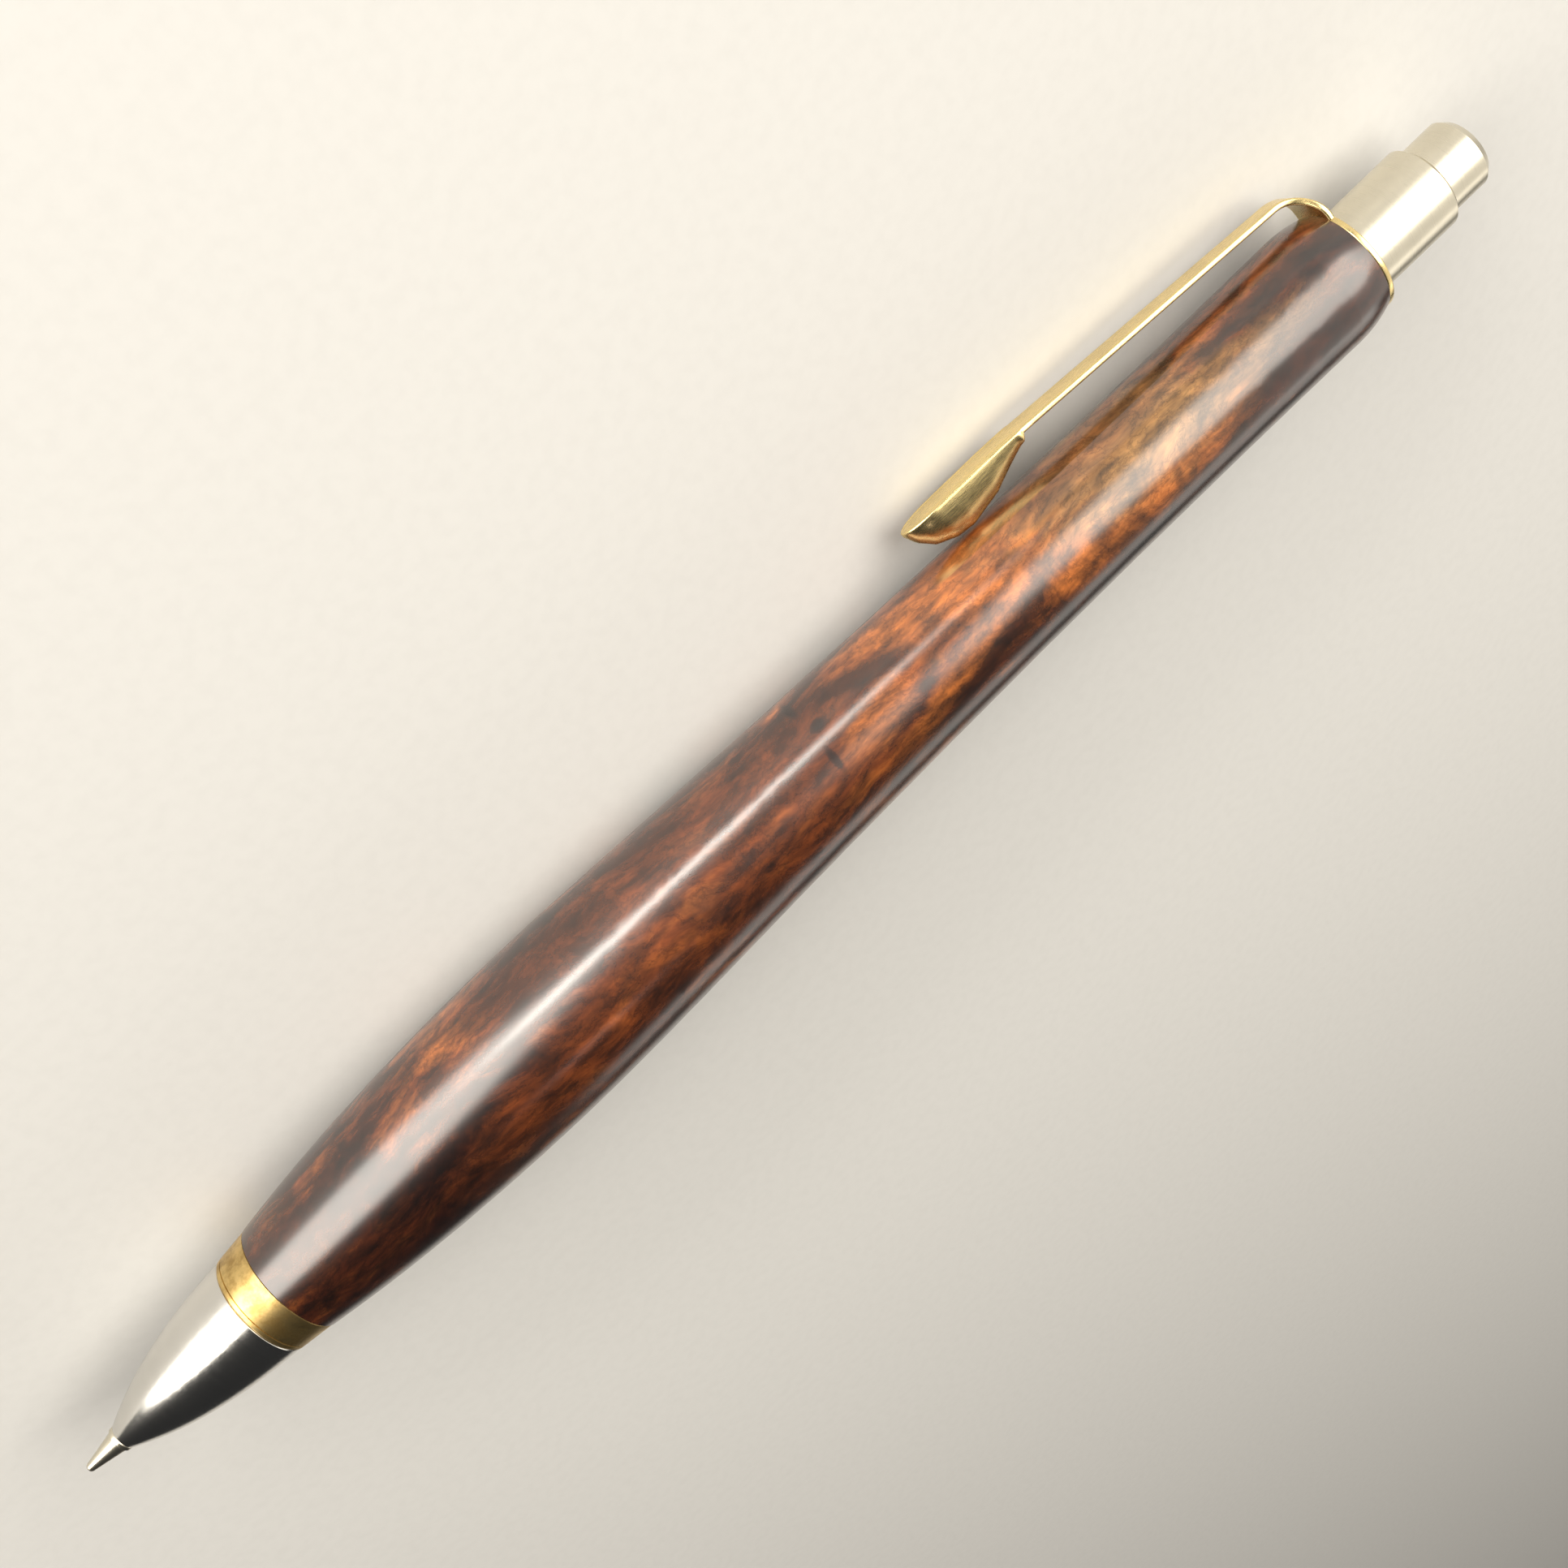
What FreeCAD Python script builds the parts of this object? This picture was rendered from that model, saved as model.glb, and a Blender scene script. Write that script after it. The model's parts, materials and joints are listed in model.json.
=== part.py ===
"""Turned burl-wood mechanical pencil, modelled as the pieces it comes apart into.

The pencil lies along X: the writing tip at -X, the push button at +X, and the
pocket clip on the +Y side, turned down as it is when the pencil has rolled to
rest on a table. All lengths are millimetres.
The pieces are drawn about the X axis with the tip's end at X = 0, and moved at
the end so that the origin is under the middle of the bounding box.
"""
import FreeCAD, Part
import math
import os

V = FreeCAD.Vector

# Outside, from the writing end to the button
tip_end_r = 0.36
tip_length = 3.5
tip_bead_length = 0.5
nose_front_r = 1.12
nose_length = 14.0
nose_rear_r = 4.38
trim_ring_length = 2.95
trim_ring_rear_r = 4.74
trim_ring_lip = 0.35
trim_ring_groove = 0.10
barrel_length = 107.05
barrel_front_r = 4.80
belly_r = 6.52
belly_place = 0.235
waist_r = 5.05
tail_rounding = 3.2
tail_face_r = 4.50
clip_sheet = 0.50
collar_length = 7.65
collar_wall = 0.53
button_exposed = 3.85
button_chamfer = 0.45
dome_height = 0.65
edge_chamfer = 0.12

# Lead and the pieces that hold it
lead_r = 0.28
lead_length = 60.0
lead_set_back = 0.3
lead_clearance = 0.02
tip_wall = 0.29
tip_shank_length = 3.0
retainer_r = 0.60
retainer_length = 2.2
retainer_land = 0.2

# Feed mechanism
knock_travel = 3.0
feed_travel = 0.75
chuck_head_r = 1.45
chuck_head_length = 1.0
chuck_taper_length = 2.4
chuck_stem_r = 0.85
chuck_length = 18.0
chuck_slit = 0.18
chuck_slit_length = 9.0
clutch_ring_length = 1.4
clutch_ring_wall = 0.40
sleeve_r = 2.48
sleeve_tail = 1.2
sleeve_wall = 0.48
sleeve_end_wall = 1.0
spring_wire = 0.40
spring_turns = 8
spring_arcs_per_turn = 6
spring_length = 10.5
connector_flange_length = 0.8
connector_spigot_length = 4.6
tube_r = 2.10
tube_wall = 0.35
spare_lead_count = 3
spare_lead_offset = 1.15

# Threads and inserts inside the wood
nose_thread_length = 10.8
nose_wall = 1.07
front_insert_wall = 0.40
front_insert_length = 14.2
rear_insert_wall = 0.47
rear_insert_length = 15.0
rear_insert_land = 5.5
collar_thread_wall = 0.80
collar_thread_length = 9.5
clip_ring_width = 1.22

# Button, eraser and its holder
button_wall = 0.35
button_skirt = 3.8
button_end_wall = 0.9
holder_wall = 0.42
holder_length = 3.2
holder_overlap = 1.6
eraser_length = 4.3

# Pocket clip, measured from the pencil's axis outward
clip_bend_r = 3.0
clip_bend_top = 7.30
clip_slope = 3.1
arm_half_bend = 0.95
arm_half_boat = 1.32
tab_half = 2.10
tab_flare = 2.4
boat_length = 11.2
boat_front_gap = 69.45
boat_half = 1.80
boat_bow = 3.8
boat_keel_half = 0.55
boat_keel_at = 4.5
boat_stern_depth = 1.05
boat_shoulder = 0.7
clip_touch_gap = 0.12
clip_hinge_up = 0.50
clip_hinge_gap = 0.10

# Clearances
slide_gap = 0.05
thread_gap = 0.05
seat_gap = 0.10
free_gap = 0.30

# Places along the axis, worked out from the lengths above
nose_x = tip_length
trim_x = nose_x + nose_length
barrel_x = trim_x + trim_ring_length
clip_x = barrel_x + barrel_length
collar_x = clip_x + clip_sheet
collar_end_x = collar_x + collar_length
button_end_x = collar_end_x + button_exposed
total_length = button_end_x + dome_height

shank_end_x = nose_x + tip_shank_length
chuck_x = shank_end_x + knock_travel + 0.5
taper_x = chuck_x + chuck_head_length
stem_x = taper_x + chuck_taper_length
clutch_x = taper_x + feed_travel + seat_gap
clutch_end_x = clutch_x + clutch_ring_length
clutch_stop_x = clutch_x - feed_travel - seat_gap / 2
sleeve_x = clutch_end_x + seat_gap
nose_end_x = trim_x + nose_thread_length
sleeve_end_x = nose_end_x + sleeve_tail
spring_x = sleeve_x + sleeve_end_wall + seat_gap
spring_end_x = spring_x + spring_length
connector_x = spring_end_x + seat_gap
connector_flange_x = sleeve_end_x + knock_travel + free_gap
tube_x = connector_flange_x + connector_flange_length

button_x = collar_end_x - button_skirt
button_seat_x = button_x - knock_travel - 0.2
holder_x = button_x + 0.2
tube_end_x = holder_x + holder_overlap
eraser_x = tube_end_x + seat_gap
button_roof_x = button_end_x - button_end_wall

# Radii that fit one inside the next
chuck_taper_r = chuck_head_r - 0.10
clutch_ring_r = chuck_head_r + clutch_ring_wall
sleeve_inner_r = sleeve_r - sleeve_wall
connector_r = sleeve_inner_r - 0.08
tube_inner_r = tube_r - tube_wall
bore_r = max(tube_r, connector_r) + free_gap
nose_inner_r = sleeve_r + slide_gap
nose_thread_r = nose_inner_r + nose_wall
sleeve_flange_r = nose_thread_r - seat_gap
front_insert_r = nose_thread_r + thread_gap + front_insert_wall
holder_r = tube_r + holder_wall
button_r = holder_r + slide_gap + button_wall
collar_r = button_r + slide_gap + collar_wall
collar_thread_r = bore_r + collar_thread_wall
rear_insert_r = collar_thread_r + thread_gap + rear_insert_wall
clip_ring_r = collar_thread_r + slide_gap + clip_ring_width

# Places along the clip
boat_x = barrel_x + boat_front_gap
boat_end_x = boat_x + boat_length
arm_end_x = boat_end_x - 0.3


def barrel_radius_points():
    """Outline of the wood: rises to the belly, then eases down to a slim waist."""
    rise = belly_r - barrel_front_r
    fall = belly_r - waist_r
    shape = [
        (0.00, barrel_front_r),
        (0.06, barrel_front_r + 0.47 * rise),
        (0.13, barrel_front_r + 0.81 * rise),
        (belly_place, belly_r),
        (0.40, waist_r + 0.65 * fall),
        (0.57, waist_r + 0.25 * fall),
        (0.73, waist_r + 0.03 * fall),
    ]
    points = [V(barrel_x + part * barrel_length, radius, 0) for part, radius in shape]
    points.append(V(clip_x - tail_rounding, waist_r - 0.02, 0))
    return points


def barrel_radius_at(x):
    """Radius of the wood's outside at a place along the axis."""
    curve = Part.BSplineCurve()
    curve.interpolate(barrel_radius_points())
    crossing = curve.intersect(Part.Line(V(x, 0, 0), V(x, 1, 0)))[0]
    return crossing.Y


def revolve(edges):
    """Solid of revolution about the X axis from a closed outline of edges."""
    face = Part.Face(Part.Wire(Part.__sortEdges__(edges)))
    return face.revolve(V(0, 0, 0), V(1, 0, 0), 360)


def turned(outline):
    """Solid turned about the X axis from a closed outline of (x, radius) corners."""
    corners = [V(x, radius, 0) for x, radius in outline]
    wire = Part.makePolygon(corners + corners[:1])
    return Part.Face(wire).revolve(V(0, 0, 0), V(1, 0, 0), 360)


def tube(start, end, outer, inner):
    """Plain tube or washer along the X axis."""
    return turned([(start, inner), (start, outer), (end, outer), (end, inner)])


def rod(start, end, radius, y=0.0, z=0.0):
    """Plain round rod along X."""
    return Part.makeCylinder(radius, end - start, V(start, y, z), V(1, 0, 0))


def line(*points):
    """Edges of an open chain of straight lines through (x, y) points."""
    corners = [V(x, y, 0) for x, y in points]
    return [Part.makeLine(a, b) for a, b in zip(corners, corners[1:])]


def arc(start, middle, end):
    """Arc through three (x, y) points."""
    points = [V(x, y, 0) for x, y in (start, middle, end)]
    return Part.Arc(*points).toShape()


def spline(points):
    """Smooth curve through (x, y) points."""
    curve = Part.BSplineCurve()
    curve.interpolate([V(x, y, 0) for x, y in points])
    return curve.toShape()


# Writing end -----------------------------------------------------------------

def make_tip_guide():
    bore = lead_r + lead_clearance
    retainer_x = nose_x + retainer_land
    return turned([
        (0, bore),
        (0, tip_end_r - 0.06),
        (0.1, tip_end_r),
        (tip_length - tip_bead_length, nose_front_r - 0.20),
        (tip_length - 0.8 * tip_bead_length, nose_front_r - 0.06),
        (tip_length - 0.2 * tip_bead_length, nose_front_r - 0.04),
        (tip_length, nose_front_r - 0.10),
        (tip_length, retainer_r + tip_wall - slide_gap / 2),
        (shank_end_x, retainer_r + tip_wall - slide_gap / 2),
        (shank_end_x, retainer_r),
        (retainer_x, retainer_r),
        (retainer_x, bore),
    ])


def make_lead_retainer():
    start = nose_x + retainer_land
    return tube(start, start + retainer_length, retainer_r, lead_r + lead_clearance)


def make_nose_cone():
    shank_hole = retainer_r + tip_wall - slide_gap / 2
    ogive = [
        (nose_x, nose_front_r),
        (nose_x + 0.10 * nose_length, nose_front_r + 0.195 * (nose_rear_r - nose_front_r)),
        (nose_x + 0.27 * nose_length, nose_front_r + 0.47 * (nose_rear_r - nose_front_r)),
        (nose_x + 0.49 * nose_length, nose_front_r + 0.72 * (nose_rear_r - nose_front_r)),
        (nose_x + 0.72 * nose_length, nose_front_r + 0.89 * (nose_rear_r - nose_front_r)),
        (trim_x - edge_chamfer, nose_rear_r),
    ]
    edges = [spline(ogive)]
    edges += line(
        (trim_x - edge_chamfer, nose_rear_r),
        (trim_x, nose_rear_r - edge_chamfer),
        (trim_x, nose_thread_r),
        (nose_end_x, nose_thread_r),
        (nose_end_x, nose_inner_r),
        (sleeve_x, nose_inner_r),
        (sleeve_x, clutch_ring_r + free_gap),
        (clutch_stop_x, clutch_ring_r + free_gap),
        (clutch_stop_x, chuck_head_r + 0.18),
        (shank_end_x, chuck_head_r + 0.18),
        (shank_end_x, shank_hole),
        (nose_x, shank_hole),
        (nose_x, nose_front_r),
    )
    return revolve(edges)


def make_front_ring():
    inner = nose_thread_r + slide_gap
    end = barrel_x
    groove_x = trim_x + trim_ring_lip
    band_x = groove_x + trim_ring_groove
    lip_r = nose_rear_r + 0.05
    return turned([
        (trim_x, inner),
        (trim_x, lip_r - 0.06),
        (trim_x + 0.06, lip_r),
        (groove_x, lip_r + 0.03),
        (groove_x + trim_ring_groove / 2, lip_r - 0.05),
        (band_x, lip_r + 0.05),
        (end - 0.10, trim_ring_rear_r),
        (end, trim_ring_rear_r - 0.10),
        (end, inner),
    ])


# Wooden barrel and its threaded inserts --------------------------------------

def make_barrel():
    outline = barrel_radius_points()
    shoulder = (outline[-1].x, outline[-1].y)
    curve = Part.BSplineCurve()
    curve.interpolate(outline)
    mid = (clip_x - 0.36 * tail_rounding, tail_face_r + 0.60 * (shoulder[1] - tail_face_r))
    front_seat = barrel_x + front_insert_length
    rear_seat = clip_x - rear_insert_length
    edges = [curve.toShape(), arc(shoulder, mid, (clip_x, tail_face_r))]
    edges += line(
        (clip_x, tail_face_r),
        (clip_x, rear_insert_r),
        (rear_seat, rear_insert_r),
        (rear_seat, bore_r),
        (front_seat, bore_r),
        (front_seat, front_insert_r),
        (barrel_x, front_insert_r),
        (barrel_x, barrel_front_r),
    )
    return revolve(edges)


def make_front_insert():
    end = barrel_x + front_insert_length
    thread = nose_thread_r + thread_gap
    seat_x = sleeve_end_x
    return turned([
        (barrel_x, thread),
        (barrel_x, front_insert_r),
        (end, front_insert_r),
        (end, bore_r),
        (seat_x, bore_r),
        (seat_x, thread),
    ])


def make_rear_insert():
    start = clip_x - rear_insert_length
    thread_end = clip_x
    land_end = start + rear_insert_land
    thread = collar_thread_r + thread_gap
    return turned([
        (start, bore_r),
        (start, rear_insert_r),
        (thread_end, rear_insert_r),
        (thread_end, thread),
        (land_end, thread),
        (land_end, bore_r),
    ])


# Feed mechanism --------------------------------------------------------------

def make_chuck():
    end = chuck_x + chuck_length
    bore = lead_r + lead_clearance
    body = turned([
        (chuck_x, bore),
        (chuck_x, chuck_head_r - 0.25),
        (chuck_x + 0.25, chuck_head_r),
        (taper_x, chuck_head_r),
        (taper_x, chuck_taper_r),
        (stem_x, chuck_stem_r + 0.12),
        (stem_x, chuck_stem_r),
        (end, chuck_stem_r),
        (end, bore),
    ])
    for turn in range(3):
        slit = Part.makeBox(chuck_slit_length, 2 * chuck_head_r, chuck_slit)
        slit.translate(V(chuck_x - 0.5, 0, -chuck_slit / 2))
        slit.rotate(V(0, 0, 0), V(1, 0, 0), 120 * turn)
        body = body.cut(slit)
    return body


def make_clutch_ring():
    slope = (chuck_taper_r - chuck_stem_r - 0.12) / chuck_taper_length
    front = chuck_taper_r - slope * (clutch_x - taper_x) + slide_gap
    rear = chuck_taper_r - slope * (clutch_end_x - taper_x) + slide_gap
    return turned([
        (clutch_x, front),
        (clutch_x, clutch_ring_r),
        (clutch_end_x, clutch_ring_r),
        (clutch_end_x, rear),
    ])


def make_mechanism_sleeve():
    throat = chuck_stem_r + free_gap
    return turned([
        (sleeve_x, throat),
        (sleeve_x, sleeve_r),
        (nose_end_x + seat_gap, sleeve_r),
        (nose_end_x + seat_gap, sleeve_flange_r),
        (sleeve_end_x, sleeve_flange_r),
        (sleeve_end_x, sleeve_inner_r),
        (sleeve_x + sleeve_end_wall, sleeve_inner_r),
        (sleeve_x + sleeve_end_wall, throat),
    ])


def make_chuck_spring():
    mean_r = sleeve_inner_r - 0.12 - spring_wire / 2
    height = spring_length - spring_wire

    def wire_centre(turn):
        angle = 2 * math.pi * turn
        return V(mean_r * math.cos(angle), mean_r * math.sin(angle), height * turn / spring_turns)

    step = 1 / spring_arcs_per_turn
    starts = [index * step for index in range(spring_turns * spring_arcs_per_turn)]
    arcs = [
        Part.Arc(wire_centre(start), wire_centre(start + step / 2), wire_centre(start + step)).toShape()
        for start in starts
    ]
    climb = V(0, 2 * math.pi * mean_r, height / spring_turns)
    section = Part.Wire(Part.makeCircle(spring_wire / 2, wire_centre(0), climb))
    coil = Part.Wire(arcs).makePipeShell([section], True, True)
    coil.rotate(V(0, 0, 0), V(0, 1, 0), 90)
    coil.translate(V(spring_x + spring_wire / 2, 0, 0))
    return coil


def make_tube_connector():
    spigot_end = tube_x + connector_spigot_length
    stem_end = chuck_x + chuck_length
    return turned([
        (connector_x, chuck_stem_r),
        (connector_x, connector_r),
        (connector_flange_x, connector_r),
        (connector_flange_x, tube_r + 0.1),
        (tube_x, tube_r + 0.1),
        (tube_x, tube_inner_r),
        (spigot_end, tube_inner_r),
        (spigot_end, tube_inner_r - 0.25),
        (stem_end + 1.0, lead_r + 0.12),
        (stem_end, lead_r + 0.12),
        (stem_end, chuck_stem_r),
    ])


def make_lead_tube():
    return tube(tube_x, tube_end_x, tube_r, tube_inner_r)


def make_lead():
    return rod(lead_set_back, lead_set_back + lead_length, lead_r)


def make_spare_leads():
    start = lead_set_back + lead_length + 5.0
    bundle = []
    for index in range(spare_lead_count):
        angle = math.radians(360.0 * index / spare_lead_count + 30)
        y = spare_lead_offset * math.cos(angle)
        z = spare_lead_offset * math.sin(angle)
        bundle.append(rod(start, start + lead_length - 2.0, lead_r, y, z))
    return Part.makeCompound(bundle)


# Button end ------------------------------------------------------------------

def make_tail_collar():
    thread_start = collar_x - collar_thread_length
    bore = button_r + slide_gap
    return turned([
        (thread_start, bore_r),
        (thread_start, collar_thread_r),
        (collar_x, collar_thread_r),
        (collar_x, collar_r - edge_chamfer),
        (collar_x + edge_chamfer, collar_r),
        (collar_end_x - 2 * edge_chamfer, collar_r),
        (collar_end_x, collar_r - 2 * edge_chamfer),
        (collar_end_x, bore),
        (button_seat_x, bore),
        (button_seat_x, bore_r),
    ])


def make_push_button():
    inner = button_r - button_wall
    rim_r = button_r - button_chamfer
    rim_x = button_end_x + 0.12
    edges = line(
        (button_x, inner),
        (button_x, button_r - edge_chamfer),
        (button_x + edge_chamfer, button_r),
        (button_end_x - button_chamfer, button_r),
        (rim_x, rim_r),
    )
    rise = total_length - rim_x
    dome_r = (rim_r ** 2 + rise ** 2) / (2 * rise)
    half_turn = math.asin(rim_r / dome_r) / 2
    crown = total_length - dome_r * (1 - math.cos(half_turn))
    edges.append(arc((rim_x, rim_r), (crown, dome_r * math.sin(half_turn)), (total_length, 0)))
    edges += line((total_length, 0), (button_roof_x, 0), (button_roof_x, inner), (button_x, inner))
    return revolve(edges)


def make_eraser_holder():
    end = holder_x + holder_length
    return turned([
        (holder_x, tube_r),
        (holder_x, holder_r - 0.15),
        (holder_x + 0.15, holder_r),
        (end - 0.15, holder_r),
        (end, holder_r - 0.15),
        (end, tube_r),
    ])


def make_eraser():
    return turned([
        (eraser_x, 0),
        (eraser_x, tube_r),
        (eraser_x + eraser_length - 0.3, tube_r),
        (eraser_x + eraser_length, tube_r - 0.3),
        (eraser_x + eraser_length, 0),
    ])


# Pocket clip, drawn with X along the pencil, Y across the strip, Z outward ----

def clip_turned(shape):
    """Turn a shape drawn with the clip pointing up to the clip's real side."""
    turn = FreeCAD.Rotation(V(1, 0, 0), math.degrees(clip_tilt()) - 90)
    placed = shape.copy()
    placed.Placement = FreeCAD.Placement(V(0, 0, 0), turn).multiply(placed.Placement)
    return placed


def side_plate(edges, half_width):
    """Plate across the strip from a side outline given as (x, height) edges."""
    face = Part.Face(Part.Wire(Part.__sortEdges__(edges)))
    plate = face.extrude(V(0, 0, 2 * half_width))
    plate.rotate(V(0, 0, 0), V(1, 0, 0), 90)
    plate.translate(V(0, half_width, 0))
    return plate


def bend_centre():
    """Centre of the bend that carries the strip from the tab over to the arm."""
    return clip_x + clip_sheet - clip_bend_r, clip_bend_top - clip_bend_r


def arm_height_at(x):
    """Height of the arm's outer face above the pencil's axis."""
    slope = math.radians(clip_slope)
    centre_x, centre_z = bend_centre()
    start_x = centre_x + clip_bend_r * math.sin(slope)
    return centre_z + clip_bend_r * math.cos(slope) + (start_x - x) * math.tan(slope)


def make_clip_ring():
    washer = tube(clip_x, collar_x, clip_ring_r, collar_thread_r + slide_gap)
    top = hinge_point()[1] - clip_sheet / 2 - clip_hinge_gap
    root = clip_ring_r - 0.5
    tab = Part.makeBox(clip_sheet, 2 * tab_half, top - root, V(clip_x, -tab_half, root))
    return clip_turned(washer.fuse(tab).removeSplitter())


def hinge_point():
    """Place (x, height) of the line about which the clip's arm springs."""
    centre_x, centre_z = bend_centre()
    height = clip_ring_r + clip_hinge_up
    reach = clip_bend_r - clip_sheet / 2
    return centre_x + math.sqrt(reach ** 2 - (height - centre_z) ** 2), height


def make_arm_blank():
    """Strip from the tab over the bend and along the arm, seen from the side."""
    centre_x, centre_z = bend_centre()
    half = clip_sheet / 2
    slope = math.radians(clip_slope)
    root_x, root_z = hinge_point()
    start = math.atan2(root_z - centre_z, root_x - centre_x)
    finish = math.radians(90) - slope

    def on_bend(radius, angle):
        return centre_x + radius * math.cos(angle), centre_z + radius * math.sin(angle)

    angles = (start, (start + finish) / 2, finish)
    outer = [on_bend(clip_bend_r, angle) for angle in angles]
    inner = [on_bend(clip_bend_r - clip_sheet, angle) for angle in angles]
    lowest = (root_x + half * math.sin(start), root_z - half * math.cos(start))
    outer_far = (arm_end_x, arm_height_at(arm_end_x))
    inner_far = (arm_end_x, outer_far[1] - clip_sheet / math.cos(slope))
    edges = [arc(*outer), arc(*inner), arc(outer[0], lowest, inner[0])]
    edges += line(outer[2], outer_far, inner_far, inner[2])
    return side_plate(edges, tab_half + 0.5)


def make_arm_outline():
    """The strip's outline seen from outside: wide at its tab and toward the boat."""
    near = arm_end_x
    bend = collar_x - tab_flare
    middle = (bend + 0.62 * tab_flare, arm_half_bend + 0.26 * (tab_half - arm_half_bend))
    far = collar_x + 0.1
    edges = line((bend, -arm_half_bend), (near, -arm_half_boat), (near, arm_half_boat), (bend, arm_half_bend))
    edges += [arc((bend, hand * arm_half_bend), (middle[0], hand * middle[1]), (collar_x, hand * tab_half))
              for hand in (1, -1)]
    edges += line((collar_x, tab_half), (far, tab_half), (far, -tab_half), (collar_x, -tab_half))
    face = Part.Face(Part.Wire(Part.__sortEdges__(edges)))
    return face.extrude(V(0, 0, 2 * clip_bend_top))


def make_boat():
    """Boat-shaped end of the clip: a flat deck and a hull that bears on the wood."""
    deck = arm_height_at(arm_end_x)
    keel = barrel_radius_at(boat_x + boat_keel_at) + clip_touch_gap
    depth = deck - keel
    side = [
        spline([
            (boat_x, deck - 0.35),
            (boat_x + 0.10 * boat_keel_at, deck - 0.28 * depth),
            (boat_x + 0.33 * boat_keel_at, deck - 0.60 * depth),
            (boat_x + 0.66 * boat_keel_at, deck - 0.90 * depth),
            (boat_x + boat_keel_at, keel),
            (boat_x + 0.65 * boat_length, deck - 0.80 * depth),
            (boat_x + 0.85 * boat_length, deck - 0.48 * depth),
            (boat_end_x - 0.25, deck - boat_stern_depth),
        ])
    ]
    side += line(
        (boat_end_x - 0.25, deck - boat_stern_depth),
        (boat_end_x, deck - boat_stern_depth + 0.3),
        (boat_end_x, deck),
        (boat_x + 0.5, deck),
        (boat_x, deck - 0.35),
    )
    hull = side_plate(side, boat_half + 0.5)

    bow_x = boat_x + boat_bow
    stern_x = boat_end_x - boat_shoulder
    mid_bow = (bow_x - boat_bow * math.cos(math.radians(45)), boat_half * math.sin(math.radians(45)))
    plan = []
    for hand in (1, -1):
        ellipse = [(boat_x, 0), (mid_bow[0], hand * mid_bow[1]), (bow_x, hand * boat_half)]
        plan.append(arc(*ellipse))
        plan += line((bow_x, hand * boat_half), (stern_x, hand * boat_half))
        plan.append(arc(
            (stern_x, hand * boat_half),
            (stern_x + 0.7 * boat_shoulder, hand * (boat_half - 0.3 * boat_shoulder)),
            (boat_end_x, hand * (boat_half - boat_shoulder)),
        ))
    plan += line((boat_end_x, boat_half - boat_shoulder), (boat_end_x, boat_shoulder - boat_half))
    plan_face = Part.Face(Part.Wire(Part.__sortEdges__(plan)))
    plan_block = plan_face.extrude(V(0, 0, 2 * deck))

    section = []
    for hand in (1, -1):
        section.append(Part.Arc(
            V(0, hand * boat_keel_half, keel - 0.1),
            V(0, hand * (boat_keel_half + 0.72 * (boat_half - boat_keel_half)), deck - 0.62 * depth),
            V(0, hand * boat_half, deck - 0.4),
        ).toShape())
        section.append(Part.makeLine(V(0, hand * boat_half, deck - 0.4), V(0, hand * boat_half, deck)))
    section.append(Part.makeLine(V(0, -boat_half, deck), V(0, boat_half, deck)))
    section.append(Part.makeLine(V(0, -boat_keel_half, keel - 0.1), V(0, boat_keel_half, keel - 0.1)))
    section_face = Part.Face(Part.Wire(Part.__sortEdges__(section)))
    section_face.translate(V(boat_x - 1, 0, 0))
    section_block = section_face.extrude(V(boat_length + 2, 0, 0))
    return hull.common(plan_block).common(section_block)


def make_clip_arm():
    arm = make_arm_blank().common(make_arm_outline())
    return clip_turned(arm.fuse(make_boat()).removeSplitter())


def clip_tilt():
    """Angle of the clip above the horizontal when its end meets the table.

    The pencil then also touches the table at its belly and at its tail.
    """
    belly_x = barrel_x + belly_place * barrel_length
    fall = (belly_r - waist_r) / (clip_x - tail_rounding - belly_x)
    axis_height = belly_r - fall * (boat_x + boat_length / 2 - belly_x)
    deck = arm_height_at(arm_end_x)
    return math.atan2(boat_half, deck) - math.asin(axis_height / math.hypot(deck, boat_half))


def clip_reach():
    """How far the clip stands out along +Y from the pencil's axis."""
    tilt = abs(clip_tilt())
    return arm_height_at(arm_end_x) * math.cos(tilt) + boat_half * math.sin(tilt)


def placement():
    """Move that puts the origin under the middle of the whole pencil."""
    return V(-total_length / 2, (belly_r - clip_reach()) / 2, belly_r)


MAKERS = {
    "tip_guide": make_tip_guide,
    "lead_retainer": make_lead_retainer,
    "nose_cone": make_nose_cone,
    "front_ring": make_front_ring,
    "barrel": make_barrel,
    "front_insert": make_front_insert,
    "rear_insert": make_rear_insert,
    "chuck": make_chuck,
    "clutch_ring": make_clutch_ring,
    "mechanism_sleeve": make_mechanism_sleeve,
    "chuck_spring": make_chuck_spring,
    "tube_connector": make_tube_connector,
    "lead_tube": make_lead_tube,
    "lead": make_lead,
    "spare_leads": make_spare_leads,
    "tail_collar": make_tail_collar,
    "push_button": make_push_button,
    "eraser_holder": make_eraser_holder,
    "eraser": make_eraser,
    "clip_ring": make_clip_ring,
    "clip_arm": make_clip_arm,
}


def main():
    os.makedirs("parts", exist_ok=True)
    for name, make in MAKERS.items():
        shape = make()
        if not shape.isValid() or shape.Volume <= 0:
            raise ValueError("bad solid: " + name)
        shape.translate(placement())
        shape.exportStep("parts/" + name + ".step")
        print(name, len(shape.Solids), round(shape.Volume, 3))


if __name__ == "__main__":
    main()
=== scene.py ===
"""Looks of a turned burl-wood mechanical pencil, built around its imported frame."""
import json
import math

import bpy
import numpy as np
from bpy.props import (
    FloatProperty,
    FloatVectorProperty,
    PointerProperty,
)
from bpy.types import Operator, Panel, PropertyGroup
from mathutils import Matrix, Vector


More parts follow.
